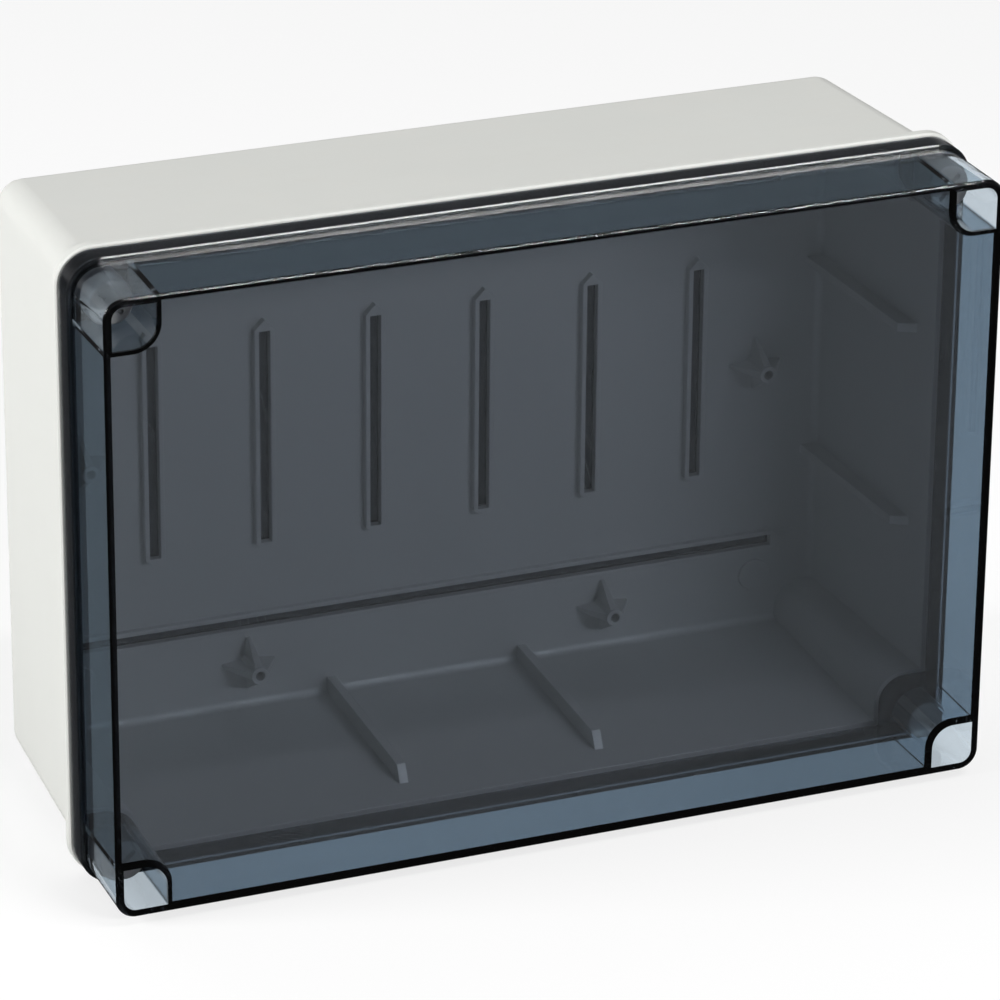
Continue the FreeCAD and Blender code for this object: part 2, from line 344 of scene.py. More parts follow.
class ToneDrift(SharedGroup):
    """Slow drift of a colour over a large moulding, with faint flow lines."""

    name = "tone_drift"
    inputs = (
        GroupSocket("Color", "NodeSocketColor"),
        GroupSocket("Amount", value=0.05),
    )
    outputs = (GroupSocket("Color", "NodeSocketColor"),)

    @classmethod
    def build(
        cls, nodes: Nodes, given: bpy.types.NodeOutputs, wanted: bpy.types.NodeInputs
    ) -> None:
        """Fills the group with cloudy drift and stretched flow lines.

        Args:
            nodes: The group's nodes.
            given: The group's input sockets.
            wanted: The group's output sockets.
        """
        clouds = nodes.noise(nodes.place(), 9.0, 3.0)
        flow = nodes.noise(nodes.place((1.0, 6.0, 1.0)), 22.0, 2.0)
        clouds = nodes.maths("MULTIPLY", clouds, 0.7)
        drift = nodes.maths("ADD", clouds, nodes.maths("MULTIPLY", flow, 0.3))
        drift = nodes.maths("MULTIPLY", nodes.maths("SUBTRACT", drift, 0.5), given["Amount"])
        gain = nodes.maths("ADD", 1.0, drift)
        scaled = nodes.add("VectorMath", operation="SCALE")
        nodes.put(scaled.inputs[0], given["Color"])
        nodes.put(scaled.inputs["Scale"], gain)
        nodes.put(wanted["Color"], scaled.outputs[0])


class SoftEdge(SharedGroup):
    """Small rounding of hard edges in the shading, with a mask of where the edges are."""

    name = "soft_edge"
    inputs = (GroupSocket("Radius", value=0.0004),)
    outputs = (GroupSocket("Normal", "NodeSocketVector"), GroupSocket("Edge"))

    @classmethod
    def build(
        cls, nodes: Nodes, given: bpy.types.NodeOutputs, wanted: bpy.types.NodeInputs
    ) -> None:
        """Fills the group with a rounded normal and how far it leaves the true one.

        Args:
            nodes: The group's nodes.
            given: The group's input sockets.
            wanted: The group's output sockets.
        """
        bevel = nodes.add("Bevel", samples=4)
        nodes.put(bevel.inputs["Radius"], given["Radius"])
        geometry = nodes.add("NewGeometry")
        dot = nodes.add("VectorMath", operation="DOT_PRODUCT")
        nodes.put(dot.inputs[0], bevel.outputs[0])
        nodes.put(dot.inputs[1], geometry.outputs["Normal"])
        nodes.put(wanted["Normal"], bevel.outputs[0])
        nodes.put(wanted["Edge"], nodes.remap(dot.outputs["Value"], 0.995, 0.80, 0.0, 1.0))


class SettledDust(SharedGroup):
    """Thin uneven dust on faces that look up."""

    name = "settled_dust"
    inputs = (GroupSocket("Amount", value=0.2),)
    outputs = (GroupSocket("Mask"),)

    @classmethod
    def build(
        cls, nodes: Nodes, given: bpy.types.NodeOutputs, wanted: bpy.types.NodeInputs
    ) -> None:
        """Fills the group with a noisy mask on upward faces.

        Args:
            nodes: The group's nodes.
            given: The group's input sockets.
            wanted: The group's output sockets.
        """
        geometry = nodes.add("NewGeometry")
        parts = nodes.add("SeparateXYZ")
        nodes.put(parts.inputs[0], geometry.outputs["Normal"])
        upward = nodes.remap(parts.outputs["Z"], 0.55, 0.98, 0.0, 1.0)
        cloud = nodes.remap(nodes.noise(nodes.place(), 60.0, 6.0, 0.62), 0.42, 0.72, 0.0, 1.0)
        nodes.put(
            wanted["Mask"],
            nodes.maths("MULTIPLY", nodes.maths("MULTIPLY", upward, cloud), given["Amount"]),
        )


class HandlingMarks(SharedGroup):
    """Faint wiping arcs and hairlines on a polished surface."""

    name = "handling_marks"
    inputs = (GroupSocket("Smear", value=0.03), GroupSocket("Hairline", value=0.05))
    outputs = (GroupSocket("Roughness"),)

    @classmethod
    def build(
        cls, nodes: Nodes, given: bpy.types.NodeOutputs, wanted: bpy.types.NodeInputs
    ) -> None:
        """Fills the group with cloudy smears and thin bent hairlines.

        Args:
            nodes: The group's nodes.
            given: The group's input sockets.
            wanted: The group's output sockets.
        """
        cloud = nodes.noise(nodes.place((1.0, 1.0, 1.6)), 14.0, 3.0)
        smear = nodes.remap(cloud, 0.5, 0.8, 0.0, 1.0)
        lines = nodes.add("TexWave", wave_type="BANDS", bands_direction="DIAGONAL")
        nodes.put(lines.inputs["Vector"], nodes.place((1.0, 1.0, 0.35)))
        nodes.put(lines.inputs["Scale"], 210.0)
        nodes.put(lines.inputs["Distortion"], 9.0)
        nodes.put(lines.inputs["Detail"], 3.0)
        nodes.put(lines.inputs["Detail Scale"], 0.4)
        thin = nodes.remap(lines.outputs["Fac"], 0.992, 1.0, 0.0, 1.0)
        patches = nodes.remap(nodes.noise(nodes.place(), 25.0), 0.55, 0.7, 0.0, 1.0)
        nodes.put(
            wanted["Roughness"],
            nodes.maths(
                "ADD",
                nodes.maths("MULTIPLY", smear, given["Smear"]),
                nodes.maths("MULTIPLY", nodes.maths("MULTIPLY", thin, patches), given["Hairline"]),
            ),
        )


def new_material(name: str) -> tuple[bpy.types.Material, Nodes, bpy.types.Node, bpy.types.Node]:
    """Makes a material with a Principled shader.

    Args:
        name: The material's name.

    Returns:
        The material, its nodes, the Principled node and the output node.
    """
    material = bpy.data.materials.new(name)
    material.use_nodes = True
    nodes = Nodes(material.node_tree)
    principled = material.node_tree.nodes["Principled BSDF"]
    output = material.node_tree.nodes["Material Output"]
    return material, nodes, principled, output


@dataclass(frozen=True)
class MouldedPlastic:
    """Matt or satin moulded thermoplastic."""

    name: str
    colour: Colour
    roughness: float = 0.42
    grain_scale: float = 2600.0
    grain_height: float = 0.00002
    edge_radius: float = 0.0005
    # share of white painted along hard edges as a highlight
    painted_edge_highlight: float = 0.22
    drift: float = 0.05
    dust: float = 0.15
    # painted shade in the grooves: the depth span, the reach across, and its near-black colour
    shaded_groove_y: tuple[float, float] = (0.0, -0.001)
    shaded_groove_reach: tuple[float, float] = (0.130, 0.068)
    painted_groove_shade: Colour = (0.012, 0.012, 0.013, 1.0)

    def groove(self, nodes: Nodes) -> bpy.types.NodeSocket:
        """Mask of the grooves sunk below the inside of the back wall, which get painted shade.

        Args:
            nodes: The material's nodes.

        Returns:
            The mask's socket.
        """
        place = nodes.add("SeparateXYZ")
        nodes.put(place.inputs[0], nodes.place())
        low, high = self.shaded_groove_y
        deep = nodes.remap(place.outputs["Y"], low, low + 0.0003, 0.0, 1.0)
        inside = nodes.remap(place.outputs["Y"], high, high + 0.0003, 1.0, 0.0)
        mask = nodes.maths("MULTIPLY", deep, inside)
        for axis, reach in zip(("X", "Z"), self.shaded_groove_reach):
            away = nodes.maths("ABSOLUTE", place.outputs[axis])
            within = nodes.remap(away, reach, reach + 0.001, 1.0, 0.0)
            mask = nodes.maths("MULTIPLY", mask, within)
        return mask

    def material(self) -> bpy.types.Material:
        """Makes the material.

        Returns:
            The material.
        """
        material, nodes, principled, _ = new_material(self.name)
        edge = SoftEdge.use(nodes, Radius=self.edge_radius)
        grain = MouldGrain.use(nodes, Scale=self.grain_scale)
        tone = ToneDrift.use(nodes, Color=self.colour, Amount=self.drift)
        dust = SettledDust.use(nodes, Amount=self.dust)
        # painted highlight: white is mixed into the colour along hard edges
        edge_highlight_share = nodes.maths("MULTIPLY", edge["Edge"], self.painted_edge_highlight)
        pale = nodes.mix(edge_highlight_share, tone["Color"], (1.0, 1.0, 1.0, 1.0))
        dusty = nodes.mix(dust["Mask"], pale, (0.62, 0.60, 0.56, 1.0))
        # painted shade: the groove floors are coloured near black to stand in for the shade in
        # these recesses
        if self.shaded_groove_y[1] > self.shaded_groove_y[0]:
            dusty = nodes.mix(self.groove(nodes), dusty, self.painted_groove_shade)
        nodes.put(principled.inputs["Base Color"], dusty)
        rough = nodes.maths("ADD", self.roughness, grain["Shine"])
        rough = nodes.maths("SUBTRACT", rough, nodes.maths("MULTIPLY", edge["Edge"], 0.06))
        dull = nodes.maths("MULTIPLY", dust["Mask"], 0.4)
        nodes.put(principled.inputs["Roughness"], nodes.maths("ADD", rough, dull, clamp=True))
        bump = nodes.add("Bump")
        nodes.put(bump.inputs["Strength"], 0.5)
        nodes.put(bump.inputs["Distance"], self.grain_height)
        nodes.put(bump.inputs["Height"], grain["Height"])
        nodes.put(bump.inputs["Normal"], edge["Normal"])
        nodes.put(principled.inputs["Normal"], bump.outputs[0])
        return material


@dataclass(frozen=True)
class SmokedPlastic:
    """Clear plastic with a smoke tint, polished on both faces.

    The front plate carries a deeper tint than the thin walls behind it.
    """

    name: str
    front_tint: Colour
    wall_tint: Colour
    well_tint: Colour
    skirt_tint: Colour
    front_y: float
    skirt_y: float
    well_x: float
    well_z: float
    front_lamp_tint: Colour
    wall_lamp_tint: Colour
    roughness: float = 0.015
    skirt_roughness: float = 0.17
    ior: float = 1.5
    sheen: Colour = (1.0, 1.0, 1.0, 1.0)

    def material(self) -> bpy.types.Material:
        """Makes the material.

        Returns:
            The material.
        """
        material, nodes, principled, output = new_material(self.name)
        marks = HandlingMarks.use(nodes, Smear=0.03, Hairline=0.12)
        geometry = nodes.add("NewGeometry")
        facing = nodes.add("SeparateXYZ")
        nodes.put(facing.inputs[0], geometry.outputs["Normal"])
        place = nodes.add("SeparateXYZ")
        nodes.put(place.inputs[0], nodes.place())
        flat = nodes.remap(nodes.maths("ABSOLUTE", facing.outputs["Y"]), 0.90, 0.97, 0.0, 1.0)
        plate_back = self.front_y + 0.0028
        plate = nodes.remap(place.outputs["Y"], plate_back + 0.0004, plate_back, 0.0, 1.0)
        front = nodes.maths("MULTIPLY", flat, plate)
        corner = 1.0
        for axis, start in (("X", self.well_x), ("Z", self.well_z)):
            away = nodes.maths("ABSOLUTE", place.outputs[axis])
            beyond = nodes.remap(away, start, start + 0.0004, 0.0, 1.0)
            corner = nodes.maths("MULTIPLY", corner, beyond)
        walls = nodes.mix(corner, self.wall_tint, self.well_tint)
        skirt = nodes.remap(place.outputs["Y"], self.skirt_y - 0.0004, self.skirt_y, 0.0, 1.0)
        walls = nodes.mix(skirt, walls, self.skirt_tint)
        tone = ToneDrift.use(nodes, Color=nodes.mix(front, walls, self.front_tint), Amount=0.04)
        nodes.put(principled.inputs["Base Color"], tone["Color"])
        rough = nodes.maths("ADD", self.roughness, marks["Roughness"])
        satin = nodes.maths("MULTIPLY", skirt, self.skirt_roughness)
        nodes.put(principled.inputs["Roughness"], nodes.maths("ADD", rough, satin))
        nodes.put(principled.inputs["IOR"], self.ior)
        nodes.put(principled.inputs["Specular Tint"], self.sheen)
        nodes.put(principled.inputs["Transmission Weight"], 1.0)
        clear = nodes.add("BsdfTransparent")
        nodes.put(clear.inputs[0], nodes.mix(front, self.wall_lamp_tint, self.front_lamp_tint))
        path = nodes.add("LightPath")
        lamps = nodes.maths(
            "MAXIMUM", path.outputs["Is Shadow Ray"], path.outputs["Is Diffuse Ray"]
        )
        blend = nodes.add("MixShader")
        nodes.put(blend.inputs[0], lamps)
        nodes.put(blend.inputs[1], principled.outputs[0])
        nodes.put(blend.inputs[2], clear.outputs[0])
        nodes.put(output.inputs["Surface"], blend.outputs[0])
        return material


@dataclass(frozen=True)
class SoftRubber:
    """Black moulded rubber with a faint bloom."""

    name: str
    colour: Colour
    roughness: float = 0.62

    def material(self) -> bpy.types.Material:
        """Makes the material.

        Returns:
            The material.
        """
        material, nodes, principled, _ = new_material(self.name)
        grain = MouldGrain.use(nodes, Scale=1800.0, Mottle=0.12)
        dust = SettledDust.use(nodes, Amount=0.25)
        bloom = nodes.remap(nodes.noise(nodes.place(), 140.0, 5.0), 0.45, 0.8, 0.0, 0.35)
        mixed = nodes.mix(bloom, self.colour, (0.10, 0.10, 0.105, 1.0))
        dusty = nodes.mix(dust["Mask"], mixed, (0.25, 0.24, 0.22, 1.0))
        nodes.put(principled.inputs["Base Color"], dusty)
        rough = nodes.maths("ADD", self.roughness, grain["Shine"], clamp=True)
        nodes.put(principled.inputs["Roughness"], rough)
        bump = nodes.add("Bump")
        nodes.put(bump.inputs["Strength"], 0.4)
        nodes.put(bump.inputs["Distance"], 0.00003)
        nodes.put(bump.inputs["Height"], grain["Height"])
        nodes.put(principled.inputs["Normal"], bump.outputs[0])
        return material


@dataclass(frozen=True)
class TurnedMetal:
    """Turned or stamped bare metal with fine tool lines."""

    name: str
    colour: Colour
    dull_colour: Colour
    roughness: float = 0.28
    line_scale: float = 9000.0

    def material(self) -> bpy.types.Material:
        """Makes the material.

        Returns:
            The material.
        """
        material, nodes, principled, _ = new_material(self.name)
        edge = SoftEdge.use(nodes, Radius=0.00015)
        lines = nodes.noise(nodes.place((0.05, 1.0, 0.05)), self.line_scale, 2.0)
        stain = nodes.remap(nodes.noise(nodes.place(), 320.0, 4.0), 0.48, 0.72, 0.0, 0.5)
        tone = nodes.mix(stain, self.colour, self.dull_colour)
        nodes.put(principled.inputs["Base Color"], tone)
        nodes.put(principled.inputs["Metallic"], 1.0)
        rough = nodes.maths("ADD", self.roughness, nodes.maths("MULTIPLY", stain, 0.3))
        worn = nodes.maths("MULTIPLY", edge["Edge"], 0.1)
        rough = nodes.maths("SUBTRACT", rough, worn, clamp=True)
        nodes.put(principled.inputs["Roughness"], rough)
        bump = nodes.add("Bump")
        nodes.put(bump.inputs["Strength"], 0.35)
        nodes.put(bump.inputs["Distance"], 0.00001)
        nodes.put(bump.inputs["Height"], lines)
        nodes.put(bump.inputs["Normal"], edge["Normal"])
        nodes.put(principled.inputs["Normal"], bump.outputs[0])
        return material


@dataclass
class Finishes:
    """Every finish of the box, made once."""

    shell: bpy.types.Material = field(init=False)
    lid: bpy.types.Material = field(init=False)
    rubber: bpy.types.Material = field(init=False)
    screw: bpy.types.Material = field(init=False)
    steel: bpy.types.Material = field(init=False)
    brass: bpy.types.Material = field(init=False)

    def __post_init__(self) -> None:
        """Makes the materials."""
        self.shell = MouldedPlastic(
            # painted shade on the groove floors of the back wall
            "light_grey_shell", srgb(206, 207, 203), shaded_groove_y=(-0.0029, -0.0008)
        ).material()
        self.lid = SmokedPlastic(
            "smoked_clear_lid",
            front_tint=(0.52, 0.58, 0.64, 1.0),
            wall_tint=(0.25, 0.34, 0.42, 1.0),
            well_tint=(0.66, 0.75, 0.82, 1.0),
            skirt_tint=(0.05, 0.06, 0.075, 1.0),
            front_y=cad_box[0].y,
            skirt_y=-0.0916,
            well_x=0.1300,
            well_z=0.0850,
            front_lamp_tint=(0.40, 0.40, 0.425, 1.0),
            wall_lamp_tint=(0.15, 0.16, 0.18, 1.0),
        ).material()
        self.rubber = SoftRubber("black_rubber_seal", (0.018, 0.018, 0.020, 1.0)).material()
        self.screw = MouldedPlastic(
            "light_grey_screw",
            srgb(214, 216, 216),
            roughness=0.34,
            grain_scale=5200.0,
            edge_radius=0.0003,
            # painted highlight along the screw head's edges
            painted_edge_highlight=0.12,
        ).material()
        self.steel = TurnedMetal(
            "bright_spring_steel", (0.60, 0.61, 0.63, 1.0), (0.38, 0.38, 0.39, 1.0)
        ).material()
        self.brass = TurnedMetal(
            "turned_brass", (0.80, 0.60, 0.28, 1.0), (0.52, 0.36, 0.16, 1.0), roughness=0.24
        ).material()


def mesh_object(
    name: str, mesh: bmesh.types.BMesh, material: bpy.types.Material
) -> bpy.types.Object:
    """Turns a bmesh into an object in the scene, smooth with hard edges kept.

    Args:
        name: The piece's name.
        mesh: Its mesh, freed here.
        material: Its material.

    Returns:
        The new object.
    """
    bmesh.ops.recalc_face_normals(mesh, faces=mesh.faces)
    data = bpy.data.meshes.new(name)
    mesh.to_mesh(data)
    mesh.free()
    data.polygons.foreach_set("use_smooth", [True] * len(data.polygons))
    data.set_sharp_from_angle(angle=math.radians(35))
    data.materials.append(material)
    made = bpy.data.objects.new(name, data)
    bpy.context.scene.collection.objects.link(made)
    return made


def point_round(
    mesh: bmesh.types.BMesh, centre: Vector, radius: float, y: float, angle: float
) -> bmesh.types.BMVert:
    """Adds a point at a radius and an angle round a line along Y.

    Args:
        mesh: Mesh to add to.
        centre: A point on the line; its Y isn't used.
        radius: Distance from the line.
        y: Depth of the point.
        angle: Angle from +X towards +Z, in radians.

    Returns:
        The point.
    """
    return mesh.verts.new(
        (centre.x + radius * math.cos(angle), y, centre.z + radius * math.sin(angle))
    )


def circle(mesh: bmesh.types.BMesh, centre: Vector, y: float, radii: list[float]) -> Ring:
    """Adds evenly spaced points round a line along Y.

    Args:
        mesh: Mesh to add to.
        centre: A point on the line; its Y isn't used.
        y: Depth of the points.
        radii: Distance of each point from the line.

    Returns:
        The points in order.
    """
    turn = 2 * math.pi / len(radii)
    return [
        point_round(mesh, centre, radius, y, turn * step) for step, radius in enumerate(radii)
    ]


def join_rings(mesh: bmesh.types.BMesh, rings: list[Ring], closed: bool = False) -> None:
    """Joins each ring of points to the next with four-sided faces.

    Args:
        mesh: Mesh to add to.
        rings: Rings with the same number of points, in order.
        closed: True to join the last ring to the first.
    """
    following = rings[1:] + rings[:1] if closed else rings[1:]
    for near, far in zip(rings, following):
        for index in range(len(near)):
            after = (index + 1) % len(near)
            mesh.faces.new((near[index], near[after], far[after], far[index]))


def lathe(profile: Profile, centre: Vector, steps: int = 64) -> bmesh.types.BMesh:
    """Turns a closed profile about a line along Y.

    Args:
        profile: Corners as (radius, y) pairs in metres, y in the box's frame.
        centre: A point on the line; its Y isn't used.
        steps: Segments round the circle.

    Returns:
        The turned mesh.
    """
    mesh = bmesh.new()
    rings = [circle(mesh, centre, y, [radius] * steps) for radius, y in profile]
    join_rings(mesh, rings, closed=True)
    bmesh.ops.remove_doubles(mesh, verts=mesh.verts, dist=1e-7)
    bmesh.ops.dissolve_degenerate(mesh, edges=mesh.edges, dist=1e-8)
    return mesh


def rounded_profile(inner: float, outer: float, low: float, high: float, soft: float) -> Profile:
    """Section of a ring with rounded corners.

    Args:
        inner: Inner radius.
        outer: Outer radius.
        low: Lowest Y.
        high: Highest Y.
        soft: Corner radius.

    Returns:
        The section's points.
    """
    corners = (
        (outer - soft, high - soft, 0),
        (inner + soft, high - soft, 90),
        (inner + soft, low + soft, 180),
        (outer - soft, low + soft, 270),
    )
    points = []
    for radius, y, start in corners:
        for step in range(5):
            angle = math.radians(start + 90 * step / 4)
            points.append((radius + soft * math.cos(angle), y + soft * math.sin(angle)))
    return points


@dataclass
class Base:
    """The grey base."""

    finishes: Finishes

    def build(self) -> list[bpy.types.Object]:
        """Dresses the base.

        Returns:
            The pieces made or dressed.
        """
        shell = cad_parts["base_shell"]
        shell.data.materials.clear()
        shell.data.materials.append(self.finishes.shell)
        return [shell]


@dataclass
class RimGasket:
    """Rubber ring in the lid's groove, with two soft lips and a valley where the tongue presses."""

    finishes: Finishes
    corner_radius: float = 10.1 * MM
    width: float = 1.6 * MM
    valley: float = 0.3 * MM
    arc_steps: int = 12

    def section(self, width: float, depth: float) -> Profile:
        """Section of the ring.

        Args:
            width: Width across the groove.
            depth: Depth into the groove.

        Returns:
            Points as (distance inward from the outer side, distance forward from the lips).
        """
        soft = 0.2 * MM
        return [
            (0.0, depth - soft),
            (0.0, soft),
            (soft, 0.0),
            (width * 0.30, 0.0),
            (width * 0.42, self.valley),
            (width * 0.58, self.valley),
            (width * 0.70, 0.0),
            (width - soft, 0.0),
            (width, soft),
            (width, depth - soft),
            (width - soft, depth),
            (soft, depth),
        ]

    def build(self) -> list[bpy.types.Object]:
        """Makes the ring.

        Returns:
            The pieces made.
        """
        low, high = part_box("rim_gasket")
        section = self.section(self.width, high.y - low.y)
        mesh = bmesh.new()
        rings = []
        for quarter, (sx, sz) in enumerate(((1, 1), (-1, 1), (-1, -1), (1, -1))):
            run_x, run_z = high.x - self.corner_radius, high.z - self.corner_radius
            corner = Vector((sx * run_x, 0.0, sz * run_z))
            for step in range(self.arc_steps + 1):
                angle = math.radians(90 * quarter + 90 * step / self.arc_steps)
                rings.append(
                    [
                        point_round(
                            mesh, corner, self.corner_radius - inward, high.y - forward, angle
                        )
                        for inward, forward in section
                    ]
                )
        join_rings(mesh, rings, closed=True)
        ring_piece = mesh_object("rim_seal_ring", mesh, self.finishes.rubber)
        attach(ring_piece, Body.LID.value)
        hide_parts("rim_gasket")
        return [ring_piece]


@dataclass
class Lid:
    """The smoked clear lid."""

    finishes: Finishes

    def build(self) -> list[bpy.types.Object]:
        """Dresses the lid.

        Returns:
            The pieces made or dressed.
        """
        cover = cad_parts["clear_lid"]
        cover.data.materials.clear()
        cover.data.materials.append(self.finishes.lid)
        return [cover]


@dataclass
class LidScrew:
    """One lid screw with its rubber washer, spring clip and brass insert."""

    finishes: Finishes
    number: int
    thread_pitch: float = 0.8 * MM
    thread_depth: float = 0.38 * MM
    thread_length: float = 10.5 * MM
    rows_per_turn: int = 8
    steps: int = 48
    shank_radius: float = 2.5 * MM
    point_length: float = 1.2 * MM
    point_taper: float = 0.8 * MM
    head_rounding: float = 0.7 * MM
    head_bevel: float = 0.25 * MM
    slot_width: float = 1.6 * MM
    slot_length: float = 9.6 * MM
    slot_depth: float = 2.4 * MM
    washer_bore: float = 2.85 * MM
    clip_grip: float = 2.53 * MM
    clip_relief: float = 3.05 * MM
    clip_gap: float = 52.0
    insert_bore: float = 2.55 * MM
    insert_chamfer: float = 0.25 * MM
    knurl_depth: float = 0.18 * MM

    def __post_init__(self) -> None:
        """Reads the screw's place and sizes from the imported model."""
        low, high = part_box(f"lid_screw_{self.number}")
        self.centre = (low + high) / 2
        self.head_radius = (high.x - low.x) / 2
        self.front = low.y
        self.tip = high.y
        seal_low, seal_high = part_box(f"screw_seal_{self.number}")
        self.seal_low, self.seal_high = seal_low, seal_high
        self.floor = seal_low.y

    def head(self) -> bpy.types.Object:
        """Makes the slotted head and shank as one turned piece with a helical thread.

        Returns:
            The screw.
        """
        soft = self.head_rounding
        mesh = bmesh.new()
        profile: Profile = []
        rise = self.head_radius - soft
        for step in range(6):
            angle = math.radians(-90 + 90 * step / 5)
            across = rise + soft * math.cos(angle)
            profile.append((across, self.front + soft + soft * math.sin(angle)))
        start = self.tip - self.thread_length
        profile += [
            (self.head_radius, self.floor - self.head_bevel),
            (self.head_radius - self.head_bevel, self.floor),
            (self.shank_radius, self.floor),
            (self.shank_radius, start),
        ]
        rings = [circle(mesh, self.centre, y, [radius] * self.steps) for radius, y in profile]
        rings += self._thread(mesh, start)
        join_rings(mesh, rings)
        mesh.faces.new(rings[0])
        mesh.faces.new(rings[-1])
        piece = mesh_object(f"slotted_screw_{self.number}", mesh, self.finishes.screw)
        self._cut_slot(piece)
        return piece

    def _thread(self, mesh: bmesh.types.BMesh, start: float) -> list[Ring]:
        """Adds the rings of the threaded end.

        Args:
            mesh: Mesh to add to.
            start: Where the thread starts.

        Returns:
            The rings in order.
        """
        rows = int(self.thread_length / self.thread_pitch * self.rows_per_turn)
        rings = []
        for row in range(1, rows + 1):
            y = start + self.thread_length * row / rows
            fade = min(1.0, (y - start) / self.thread_pitch)
            lead = max(0.0, (y - self.tip + self.point_length) / self.point_length)
            radii = []
            for step in range(self.steps):
                groove = self._groove(y, step / self.steps)
                radius = self.shank_radius - self.thread_depth * groove * fade
                radii.append(min(radius, self.shank_radius - self.point_taper * lead))
            rings.append(circle(mesh, self.centre, y, radii))
        return rings

    def _groove(self, y: float, turned: float) -> float:
        """How deep the thread's groove is at a place, from 0 at its crest to 1.

        Args:
            y: Depth of the place.
            turned: Share of a full turn round the screw.

        Returns:
            The share of the thread's depth.
        """
        phase = (y / self.thread_pitch - turned) % 1.0
        return 1 - abs(2 * phase - 1)

    def _cut_slot(self, piece: bpy.types.Object) -> None:
        """Cuts the driver slot into the head.

        Args:
            piece: The screw.
        """
        width, depth = self.slot_width, self.slot_depth
        size = (self.slot_length, 2 * depth, width)
        cutter_mesh = bmesh.new()
        bmesh.ops.create_cube(cutter_mesh, size=1.0)
        bmesh.ops.scale(cutter_mesh, vec=size, verts=cutter_mesh.verts)
        across = [
            edge
            for edge in cutter_mesh.edges
            if abs(edge.verts[0].co.y - edge.verts[1].co.y) > depth
        ]
        bmesh.ops.bevel(cutter_mesh, geom=across, offset=width * 0.45, segments=5, affect="EDGES")
        turn = Matrix.Rotation(math.radians(-45 * self._side()), 4, "Y")
        bmesh.ops.transform(
            cutter_mesh,
            matrix=Matrix.Translation((self.centre.x, self.front, self.centre.z)) @ turn,
            verts=cutter_mesh.verts,
        )
        cutter = mesh_object(f"slot_cutter_{self.number}", cutter_mesh, self.finishes.screw)
        cut = piece.modifiers.new("slot", "BOOLEAN")
        cut.operation = "DIFFERENCE"
        cut.solver = "EXACT"
        cut.object = cutter
        graph = bpy.context.evaluated_depsgraph_get()
        data = bpy.data.meshes.new_from_object(piece.evaluated_get(graph))
        piece.modifiers.clear()
        piece.data = data
        data.set_sharp_from_angle(angle=math.radians(35))
        bpy.data.objects.remove(cutter)

    def _side(self) -> int:
        """Which way the locked slot leans: 1 or -1."""
        return 1 if self.centre.x * self.centre.z > 0 else -1

    def washer(self) -> bpy.types.Object:
        """Makes the rubber washer under the head.

        Returns:
            The washer.
        """
        low, high = self.seal_low, self.seal_high
        outer = (high.x - low.x) / 2
        profile = rounded_profile(self.washer_bore, outer, low.y, high.y, 0.3 * MM)
        mesh = lathe(profile, self.centre)
        return mesh_object(f"screw_washer_{self.number}", mesh, self.finishes.rubber)

    def clip(self) -> bpy.types.Object:
        """Makes the open spring clip on the shank, with three inner fingers.

        Returns:
            The clip.
        """
        low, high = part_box(f"screw_clip_{self.number}")
        outer = (high.x - low.x) / 2
        gap = math.radians(self.clip_gap)
        steps = 72
        mesh = bmesh.new()
        rows = []
        for step in range(steps + 1):
            angle = gap / 2 + (2 * math.pi - gap) * step / steps
            around = math.degrees(angle) % 360
            near_finger = min(abs(around - place) for place in (60, 180, 300))
            blend = max(0.0, min(1.0, (near_finger - 13) / 8))
            inner = self.clip_grip + (self.clip_relief - self.clip_grip) * blend
            side = [(inner, low.y), (outer, low.y), (outer, high.y), (inner, high.y)]
            from_top = math.pi / 2 - angle
            rows.append(
                [point_round(mesh, self.centre, radius, y, from_top) for radius, y in side]
            )
        join_rings(mesh, rows)
        mesh.faces.new(rows[0])
        mesh.faces.new(rows[-1])
        return mesh_object(f"spring_clip_{self.number}", mesh, self.finishes.steel)

    def insert(self) -> bpy.types.Object:
        """Makes the brass insert, knurled outside and grooved by its thread inside.

        Returns:
            The insert.
        """
        low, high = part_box(f"screw_insert_{self.number}")
        outer = (high.x - low.x) / 2
        steps = 72
        rows = 40
        mesh = bmesh.new()
        outside, inside = [], []
        for row in range(rows + 1):
            share = row / rows
            y = low.y + (high.y - low.y) * share
            at_end = row in (0, rows)
            knurled = 0.12 < share < 0.42 or 0.58 < share < 0.92
            reach = outer - self.insert_chamfer if at_end else outer
            outer_radii, inner_radii = [], []
            for step in range(steps):
                knurl = self.knurl_depth if knurled and step % 2 else 0.0
                groove = 0.35 * MM if at_end else 0.3 * MM * self._groove(y, step / steps)
                outer_radii.append(reach - knurl)
                inner_radii.append(self.insert_bore + groove)
            outside.append(circle(mesh, self.centre, y, outer_radii))
            inside.append(circle(mesh, self.centre, y, inner_radii))
        join_rings(mesh, outside)
        join_rings(mesh, inside)
        for end in (0, -1):
            join_rings(mesh, [outside[end], inside[end]])
        return mesh_object(f"threaded_insert_{self.number}", mesh, self.finishes.brass)

    def build(self) -> list[bpy.types.Object]:
        """Makes the screw's four pieces and sets each on its body.

        Returns:
            The pieces made.
        """
        screw_body = f"screw_{self.number}"
        plan = (
            (self.head(), screw_body, f"lid_screw_{self.number}", Slot.SCREW_PLASTIC),
            (self.washer(), Body.LID.value, f"screw_seal_{self.number}", Slot.BLACK_RUBBER),
            (self.clip(), screw_body, f"screw_clip_{self.number}", Slot.SPRING_STEEL),
            (self.insert(), Body.BASE.value, f"screw_insert_{self.number}", Slot.INSERT_BRASS),
        )
        made = []
        for piece, body, node, slot in plan:
            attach(piece, body)
            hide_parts(node)
            made.append(piece)
        return made


def seen_ray(nodes: Nodes, path: bpy.types.Node) -> bpy.types.NodeSocket:
    """Mask of rays that the camera sends, also those that passed through a clear surface.

    Args:
        nodes: Nodes of the material or the world.
        path: Its Light Path node.

    Returns:
        The mask's socket.
    """
    return nodes.maths(
        "MAXIMUM", path.outputs["Is Camera Ray"], path.outputs["Is Transmission Ray"]
    )


